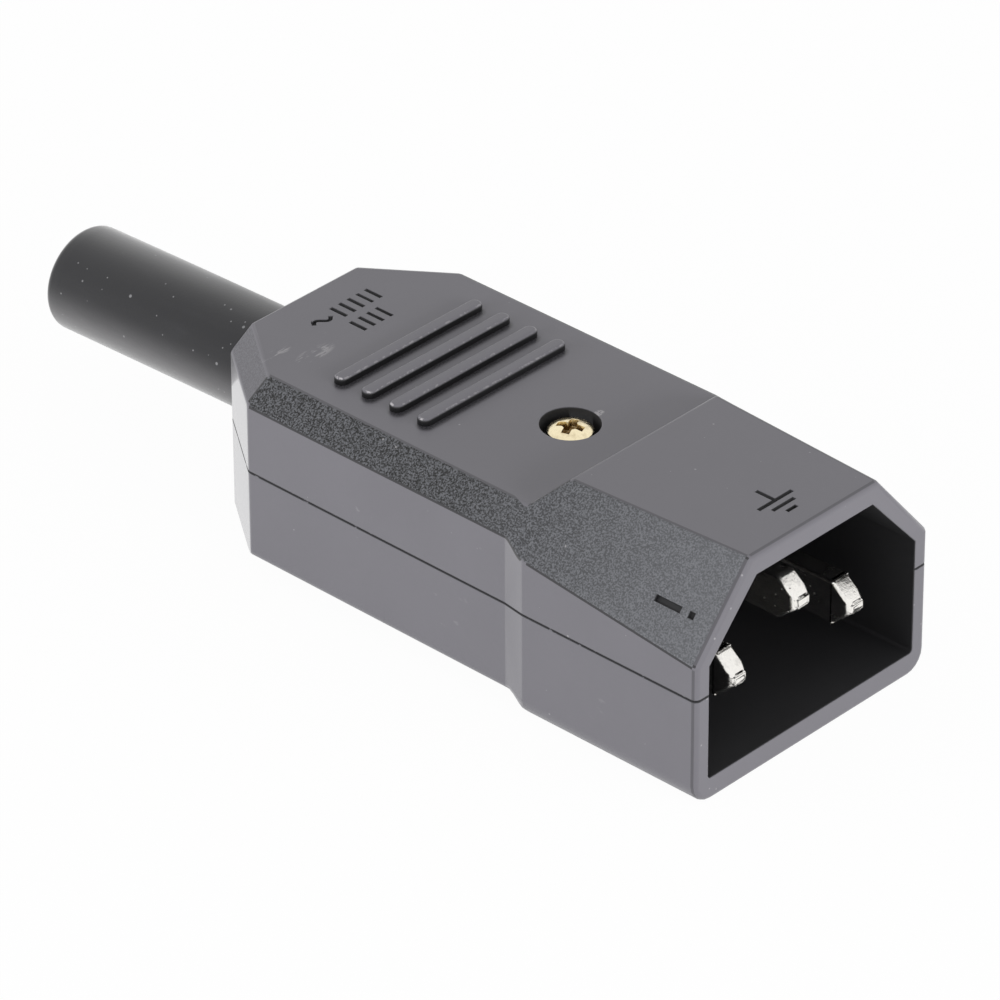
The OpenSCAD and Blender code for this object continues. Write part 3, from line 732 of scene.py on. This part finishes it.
class Recipe:
    """A Geometry Nodes tree with named inputs"""

    def __init__(self, name):
        self.tree = bpy.data.node_groups.new(name, "GeometryNodeTree")
        self.tree.interface.new_socket("Geometry", in_out="OUTPUT", socket_type="NodeSocketGeometry")
        self.inlet = self.tree.nodes.new("NodeGroupInput")
        self.idents = {}

    def given(self, **kinds):
        """The tree's inputs, from their kinds of socket, with _ for a space in a name"""
        names = [name.replace("_", " ") for name in kinds]
        for name, kind in zip(names, kinds.values()):
            socket = self.tree.interface.new_socket(
                name, in_out="INPUT", socket_type="NodeSocket" + kind)
            self.idents[name] = socket.identifier
        return [self.inlet.outputs[name] for name in names]

    def node(self, kind, settings=None, sockets=None):
        """The first output of a new node"""
        return add_node(self.tree, kind, settings, sockets).outputs[0]

    def math(self, operation, a, b):
        return self.node("ShaderNodeMath", {"operation": operation}, {0: a, 1: b})

    def finish(self, geometry, material):
        """Real geometry with its material on it"""
        real = self.node("GeometryNodeRealizeInstances", {}, {0: geometry})
        dressed = self.node("GeometryNodeSetMaterial", {}, {"Geometry": real, "Material": material})
        add_node(self.tree, "NodeGroupOutput", {}, {0: dressed})
        return self

    def made(self, name, base, values):
        """Runs the tree on a mesh or curve and returns the plain mesh"""
        source = linked(name + "_base", base)
        run = source.modifiers.new("Recipe", "NODES")
        run.node_group = self.tree
        for key, value in values.items():
            run[self.idents[key]] = value
        return finished_mesh(source, name)


def rib_recipe():
    """Grip ribs: a stadium outline, filled, raised and rounded along its top edge,
    repeated along a line"""
    r = Recipe("Grip Ribs")
    count, pitch, length, width, height, rounding, start, material = r.given(
        Count="Int", Pitch="Float", Length="Float", Width="Float", Height="Float",
        Edge_Rounding="Float", Start="Vector", Material="Material")
    sheet = r.node("GeometryNodeCurvePrimitiveQuadrilateral", {"mode": "RECTANGLE"},
                   {"Width": width, "Height": length})
    radius = r.math("MULTIPLY", width, 0.4999)
    stadium = r.node("GeometryNodeFilletCurve", {"mode": "POLY"},
                     {"Curve": sheet, "Count": 14, "Radius": radius})
    face = r.node("GeometryNodeFillCurve", {"mode": "NGONS"}, {"Curve": stadium})
    bottom = r.node("GeometryNodeFlipFaces", {}, {0: face})

    # Outward direction in the plane, away from the rib's middle line
    x = r.node("ShaderNodeSeparateXYZ", {}, {0: r.node("GeometryNodeInputPosition")})
    y = x.node.outputs[1]
    reach = r.math("SUBTRACT", r.math("MULTIPLY", length, 0.5), radius)
    middle = r.node("ShaderNodeClamp", {}, {
        "Value": y, "Min": r.math("MULTIPLY", reach, -1.0), "Max": reach})
    away = r.node("ShaderNodeCombineXYZ", {}, {0: x, 1: r.math("SUBTRACT", y, middle)})
    outward = r.node("ShaderNodeVectorMath", {"operation": "NORMALIZE"}, {0: away})

    # The upright wall comes first, and then the round edge in steps
    steps = 5
    arc = [math.pi / 2 * i / steps for i in range(steps + 1)]
    rises = [(r.math("SUBTRACT", height, rounding), None)]
    rises += [(r.math("MULTIPLY", rounding, math.sin(b) - math.sin(a)),
               r.math("MULTIPLY", rounding, math.cos(b) - math.cos(a)))
              for a, b in zip(arc, arc[1:])]
    body, top = face, True
    for rise, inset in rises:
        body = r.node("GeometryNodeExtrudeMesh", {"mode": "FACES"}, {
            "Mesh": body, "Selection": top, "Offset": (0, 0, 1), "Offset Scale": rise,
            "Individual": False})
        top = body.node.outputs["Top"]
        if inset:
            back = r.node("ShaderNodeVectorMath", {"operation": "SCALE"},
                          {0: outward, "Scale": inset})
            body = r.node("GeometryNodeSetPosition", {}, {
                "Geometry": body, "Selection": top, "Offset": back})
    joined = r.node("GeometryNodeJoinGeometry", {}, {0: body})
    r.tree.links.new(bottom, joined.node.inputs[0])
    rib = r.node("GeometryNodeMergeByDistance", {}, {"Geometry": joined, "Distance": 1e-6})

    step = r.node("ShaderNodeCombineXYZ", {}, {0: r.math("MULTIPLY", pitch, -1.0)})
    line = r.node("GeometryNodeMeshLine", {"mode": "OFFSET"}, {
        "Count": count, "Start Location": start, "Offset": step})
    ribs = r.node("GeometryNodeInstanceOnPoints", {}, {"Points": line, "Instance": rib})
    return r.finish(ribs, material)


class PLUG_OT_grip_ribs(bpy.types.Operator):
    """Make the row of grip ribs on the top face"""
    bl_idname = "plug.grip_ribs"
    bl_label = "Grip Ribs"

    def execute(self, context):
        s = context.scene.plug_ribs
        plastic = rib_plastic("Rib_Plastic", context.scene.plug_shells, s)
        sink = 0.1 * MM
        mesh = rib_recipe().made("Grip_Ribs", bpy.data.meshes.new("Grip_Ribs_base"), {
            "Count": s.count, "Pitch": s.pitch, "Length": s.length, "Width": s.width,
            "Height": s.height + sink, "Edge Rounding": s.edge_round,
            "Start": (FRONT_X - s.start, 0.0, BODY_TOP - sink), "Material": plastic})
        mesh.shade_smooth()
        mesh.set_sharp_from_angle(angle=math.radians(50))
        piece("Grip_Ribs", mesh, plastic, "shell_plastic")
        return {"FINISHED"}


def repeat_recipe():
    """Puts one model at every point of the base, turned by the point's own angle"""
    r = Recipe("Placed Copies")
    points, model, material = r.given(Points="Geometry", Model="Object", Material="Material")
    shape = r.node("GeometryNodeObjectInfo", {}, {"Object": model}).node.outputs["Geometry"]
    turn = r.node("GeometryNodeInputNamedAttribute", {"data_type": "FLOAT_VECTOR"},
                  {"Name": "turn"})
    copies = r.node("GeometryNodeInstanceOnPoints", {}, {
        "Points": points, "Instance": shape, "Rotation": turn})
    return r.finish(copies, material)


def boot_recipe():
    """Rubber boot: its half profile is turned round the cord's axis, and then sags"""
    r = Recipe("Cable Boot")
    profile, facets, ring_r, axis_z, held_x, free, droop, material = r.given(
        Profile="Geometry", Facets="Int", Ring_Radius="Float", Axis_Height="Float",
        Held_To="Float", Free_Length="Float", Droop="Float", Material="Material")
    ring = r.node("GeometryNodeCurvePrimitiveCircle", {"mode": "RADIUS"},
                  {"Resolution": facets, "Radius": ring_r})
    turned = r.node("GeometryNodeCurveToMesh", {}, {"Curve": ring, "Profile Curve": profile})
    # The ring lies flat: turn its axis onto X and lift it to the cord's height
    lift = r.node("ShaderNodeCombineXYZ", {}, {2: axis_z})
    upright = r.node("GeometryNodeTransform", {}, {
        "Geometry": turned, "Rotation": (0.0, -math.pi / 2, 0.0), "Translation": lift})
    x = r.node("ShaderNodeSeparateXYZ", {}, {0: r.node("GeometryNodeInputPosition")})
    along = r.node("ShaderNodeMath", {"operation": "DIVIDE", "use_clamp": True}, {
        0: r.math("SUBTRACT", held_x, x), 1: free})
    sag = r.math("MULTIPLY", r.math("POWER", along, 1.25), droop)
    fall = r.node("ShaderNodeCombineXYZ", {}, {2: r.math("MULTIPLY", sag, -1.0)})
    sagged = r.node("GeometryNodeSetPosition", {}, {"Geometry": upright, "Offset": fall})
    return r.finish(r.node("GeometryNodeSetShadeSmooth", {}, {"Geometry": sagged}), material)


def boot_profile(s, ring_r):
    """Half profile of the boot as a closed curve: along the cord and out from its axis"""
    front, rear, step_x = BOOT_HIGH.x, BOOT_LOW.x, BOOT_HIGH.x - s.flange_t
    outer, bore, flange = s.outer_d / 2, s.bore_d / 2, s.flange_d / 2
    small = 0.25 * MM
    corners = [(front, bore, 0), (front, flange, small), (step_x, flange, small),
               (step_x, outer, 0), (rear, outer, s.end_round), (rear, bore, small)]
    points = []
    for i, (x, y, radius) in enumerate(corners):
        here = Vector((x, y))
        before = Vector(corners[i - 1][:2])
        after = Vector(corners[(i + 1) % len(corners)][:2])
        if not radius:
            points.append(here)
            continue
        a = here + (before - here).normalized() * radius
        b = here + (after - here).normalized() * radius
        centre = a + b - here
        for k in range(7):
            t = math.pi / 2 * k / 6
            points.append(centre + (a - centre) * math.cos(t) + (b - centre) * math.sin(t))
    dense = []
    for i, p in enumerate(points):
        q = points[(i + 1) % len(points)]
        pieces = max(1, int((q - p).length / (0.8 * MM)))
        dense += [p.lerp(q, k / pieces) for k in range(pieces)]
    curve = bpy.data.curves.new("Cable_Boot_profile", "CURVE")
    curve.dimensions = "3D"
    spline = curve.splines.new("POLY")
    spline.points.add(len(dense) - 1)
    spline.use_cyclic_u = True
    for point, p in zip(spline.points, reversed(dense)):
        point.co = (p.y - ring_r, p.x, 0.0, 1.0)
    return curve


class PLUG_OT_boot(bpy.types.Operator):
    """Make the rubber boot round the cord's entry"""
    bl_idname = "plug.boot"
    bl_label = "Cable Boot"

    def execute(self, context):
        s = context.scene.plug_boot
        black = rubber("Boot_Rubber", s.colour)
        ring_r = 1.0 * MM
        held = SHELL_LOW.x
        mesh = boot_recipe().made("Cable_Boot", boot_profile(s, ring_r), {
            "Facets": 96, "Ring Radius": ring_r,
            "Axis Height": (BOOT_LOW.z + BOOT_HIGH.z) / 2 + s.lift, "Held To": held,
            "Free Length": held - BOOT_LOW.x, "Droop": s.droop, "Material": black})
        mesh.set_sharp_from_angle(angle=math.radians(50))
        piece("Cable_Boot", mesh, black, "boot_rubber", "cable_boot")
        return {"FINISHED"}


# -------------------------------- metal pieces

def sloped_nose(bm, run, rise, rounding):
    """Cuts the tip of a blade to two flat slopes with soft edges between them"""
    tip = max(v.co.x for v in bm.verts)
    blade = [v.co.z for v in bm.verts if v.co.x > tip - 4 * MM]
    for side, level in ((1, max(blade)), (-1, min(blade))):
        bmesh.ops.bisect_plane(
            bm, geom=bm.verts[:] + bm.edges[:] + bm.faces[:], clear_outer=True,
            plane_co=(tip, 0, level - side * rise), plane_no=(rise, 0, side * run))
        bmesh.ops.holes_fill(bm, edges=[e for e in bm.edges if e.is_boundary], sides=0)
    bmesh.ops.dissolve_limit(bm, angle_limit=math.radians(9), verts=bm.verts, edges=bm.edges)
    bm.normal_update()
    cross = [e for e in bm.edges
             if all(v.co.x > tip - run - 0.2 * MM for v in e.verts) and len(e.link_faces) == 2
             and abs((e.verts[0].co - e.verts[1].co).normalized().y) > 0.99
             and e.calc_face_angle(0.0) > math.radians(20)]
    bmesh.ops.bevel(bm, geom=cross, offset=rounding, segments=4, profile=0.5, affect="EDGES")
    return bm


class PLUG_OT_blades(bpy.types.Operator):
    """Make the three blades and the insert that holds them"""
    bl_idname = "plug.blades"
    bl_label = "Blades and Insert"

    def execute(self, context):
        s = context.scene.plug_metal
        nickel = plated_metal("Nickel_Plate", s.nickel, (0.24, 0.22, 0.19), 0.20, 0.30)
        for pole in POLES:
            node, name = pole + "_pin", pole.title() + "_Blade"
            nosed = sloped_nose(merged(node), s.nose_run, s.nose_rise, 0.35 * MM)
            mesh = softened(nosed, name, s.edge_round * 2.5, 40.0, 3, clamp=False)
            piece(name, mesh, nickel, "nickel_plate", node)
        mesh = softened(merged("contact_carrier"), "Insert", 0.12 * MM)
        piece("Insert", mesh, insert_plastic("Insert_Plastic"), "insert_plastic",
              "contact_carrier")
        return {"FINISHED"}


def seat(node):
    """The middle of a screw's foot"""
    low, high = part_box(node)
    return Vector(((low.x + high.x) / 2, (low.y + high.y) / 2, low.z))


def screw_set(name, nodes, turns, steel):
    """One kind of screw: the first one's refined mesh, repeated at each seat with a turn"""
    mesh = softened(merged(nodes[0]), name + "_model", 0.10 * MM)
    mesh.transform(Matrix.Translation(-seat(nodes[0])))
    model = linked(name + "_model", mesh)
    base = bpy.data.meshes.new(name + "_points")
    base.from_pydata([seat(node) for node in nodes], [], [])
    layer = base.attributes.new("turn", "FLOAT_VECTOR", "POINT")
    for i, angle in enumerate(turns):
        layer.data[i].vector = (0.0, 0.0, angle)
    mesh = repeat_recipe().made(name, base, {"Model": model, "Material": steel})
    bpy.data.objects.remove(model)
    piece(name, mesh, steel, "screw_steel", *nodes)


class PLUG_OT_wiring(bpy.types.Operator):
    """Make the terminals, their screws and the cord clamp inside the shells"""
    bl_idname = "plug.wiring"
    bl_label = "Terminals and Clamp"

    def execute(self, context):
        s = context.scene.plug_metal
        brass = plated_metal("Bare_Brass", s.brass, (0.25, 0.15, 0.06), 0.28, 0.35)
        steel = plated_metal("Screw_Steel", s.steel, (0.18, 0.17, 0.16), 0.30, 0.35,
                             drawn=(6.0, 6.0, 1.0))
        for pole in POLES:
            node, name = pole + "_terminal", pole.title() + "_Terminal"
            piece(name, softened(merged(node), name, s.edge_round), brass, "bare_brass", node)
        screw_set("Terminal_Screws", [pole + "_terminal_screw" for pole in POLES],
                  (0.0, 0.7, 2.2), steel)
        screw_set("Clamp_Screws", ["clamp_screw_left", "clamp_screw_right"],
                  (0.0, math.radians(70)), steel)
        piece("Clamp_Bar", softened(merged("clamp_bar"), "Clamp_Bar", 0.12 * MM),
              bpy.data.materials["Housing_Plastic"], "shell_plastic", "clamp_bar")
        return {"FINISHED"}


class PLUG_OT_closing_screw(bpy.types.Operator):
    """Make the screw that closes the shells and its nut"""
    bl_idname = "plug.closing_screw"
    bl_label = "Closing Screw"

    def execute(self, context):
        s = context.scene.plug_metal
        recess = Vector((SCREW_AXIS.x, SCREW_AXIS.y, SCREW_HIGH.z - 0.30 * MM))
        zinc = plated_metal("Yellow_Zinc", s.zinc, (0.26, 0.16, 0.06), 0.20, 0.55,
                            drawn=(3.0, 3.0, 3.0), slot=recess)
        for node, name, width in (("housing_screw", "Closing_Screw", 0.09 * MM),
                                  ("housing_nut", "Closing_Nut", 0.15 * MM)):
            piece(name, softened(merged(node), name, width), zinc, "yellow_zinc", node)
        return {"FINISHED"}


# -------------------------------- stage

def soft_lamp(name, place, size, power):
    """A large lamp that lights the plug evenly and isn't mirrored in it"""
    data = bpy.data.lights.new(name, "AREA")
    data.shape, data.size, data.size_y, data.energy = "RECTANGLE", size[0], size[1], power
    lamp = linked(name, data)
    lamp.location = place
    aim = Vector((0, 0, 0.01)) - Vector(place)
    lamp.rotation_euler = aim.to_track_quat("-Z", "Y").to_euler()
    lamp.visible_glossy = False


def paper_floor(s):
    """The floor: pale matt paper, which looks white and still takes the plug's shadow"""
    f = Finish("Floor")
    grain = f.noise(0.002, 2.0)
    paper = f.mix(grain, rgba(s.floor_colour, 0.99), rgba(s.floor_colour, 1.01))
    matt = f.node("ShaderNodeBsdfPrincipled", {}, {
        "Base Color": paper, "Roughness": 0.9, "Specular IOR Level": 0.1})
    glow = f.node("ShaderNodeEmission", {}, {"Color": (1, 1, 1, 1), "Strength": 1.0})
    both = f.node("ShaderNodeMixShader", {}, {0: f.background() * 0.965, 1: matt, 2: glow})
    f.end("ShaderNodeOutputMaterial", both)
    bm = bmesh.new()
    bmesh.ops.create_grid(bm, x_segments=8, y_segments=8, size=3.0)
    floor = loose_object("Floor", bm)
    floor.data.transform(Matrix.Translation((0, 0, -0.02 * MM)))
    floor.data.materials.append(f.material)


def even_sky(s):
    """The world: white where it is seen, and dimmer where it lights"""
    world = bpy.data.worlds.new("Studio")
    shading = Shading(world)
    dim, white = (shading.node("ShaderNodeBackground", {}, {
        "Color": (1.0, 1.0, 1.0, 1.0), "Strength": strength}) for strength in (s.sky, 1.0))
    both = shading.node("ShaderNodeMixShader", {}, {0: shading.background(), 1: dim, 2: white})
    shading.end("ShaderNodeOutputWorld", both)
    return world


def camera(place, azimuth, elevation, roll, lens):
    """A camera that looks from an azimuth and an elevation, with a slight roll"""
    data = bpy.data.cameras.new("Camera")
    data.lens, data.sensor_width = lens, 36.0
    data.clip_start, data.clip_end = 0.05, 20.0
    azimuth, elevation, roll = (math.radians(a) for a in (azimuth, elevation, roll))
    back = Vector((math.sin(azimuth) * math.cos(elevation),
                   -math.cos(azimuth) * math.cos(elevation), math.sin(elevation)))
    right = Vector((0, 0, 1)).cross(back).normalized()
    up = back.cross(right)
    tilted = math.cos(roll) * right + math.sin(roll) * up
    raised = -math.sin(roll) * right + math.cos(roll) * up
    turn = Matrix((tilted, raised, back)).transposed()
    made = linked("Camera", data)
    made.matrix_world = Matrix.Translation(place) @ turn.to_4x4()
    return made


class PLUG_OT_stage(bpy.types.Operator):
    """Make the pale floor, the soft light and the camera"""
    bl_idname = "plug.stage"
    bl_label = "Stage"

    def execute(self, context):
        scene = context.scene
        s = scene.plug_stage
        paper_floor(s)
        scene.world = even_sky(s)
        soft_lamp("Key", (-0.25, -0.62, 0.12), (0.7, 0.22), s.key)
        soft_lamp("Fill", (0.62, 0.06, 0.13), (0.5, 0.24), s.fill)
        scene.camera = camera((0.35187, -0.36585, 0.32519), 43.28, 32.28, -0.25, 263.7)
        scene.view_settings.view_transform = "Standard"
        return {"FINISHED"}


# -------------------------------- add-on

class PLUG_PT_panel(bpy.types.Panel):
    """Buttons and sizes of the plug"""
    bl_idname = "PLUG_PT_panel"
    bl_label = "Inlet Plug"
    bl_space_type = "VIEW_3D"
    bl_region_type = "UI"
    bl_category = "Inlet Plug"

    def draw(self, context):
        scene = context.scene
        rows = (("plug_shells", "plug.shells"), ("plug_ribs", "plug.grip_ribs"),
                ("plug_metal", "plug.blades"), ("plug_metal", "plug.wiring"),
                ("plug_metal", "plug.closing_screw"), ("plug_boot", "plug.boot"),
                ("plug_stage", "plug.stage"))
        shown = set()
        for group, operator in rows:
            box = self.layout.box()
            box.operator(operator)
            if group in shown:
                continue
            shown.add(group)
            settings = getattr(scene, group)
            for name in settings.__annotations__:
                box.prop(settings, name)


SETTINGS = {"plug_shells": ShellSettings, "plug_ribs": RibSettings, "plug_metal": MetalSettings,
            "plug_boot": BootSettings, "plug_stage": StageSettings}
CLASSES = (*SETTINGS.values(), PLUG_OT_shells, PLUG_OT_grip_ribs, PLUG_OT_blades,
           PLUG_OT_wiring, PLUG_OT_closing_screw, PLUG_OT_boot, PLUG_OT_stage, PLUG_PT_panel)


def register():
    for item in CLASSES:
        bpy.utils.register_class(item)
    for name, group in SETTINGS.items():
        setattr(bpy.types.Scene, name, PointerProperty(type=group))


def unregister():
    for name in SETTINGS:
        delattr(bpy.types.Scene, name)
    for item in reversed(CLASSES):
        bpy.utils.unregister_class(item)


def main():
    register()
    bpy.ops.plug.shells()
    bpy.ops.plug.grip_ribs()
    bpy.ops.plug.blades()
    bpy.ops.plug.wiring()
    bpy.ops.plug.closing_screw()
    bpy.ops.plug.boot()
    bpy.ops.plug.stage()


if __name__ == "__main__":
    main()
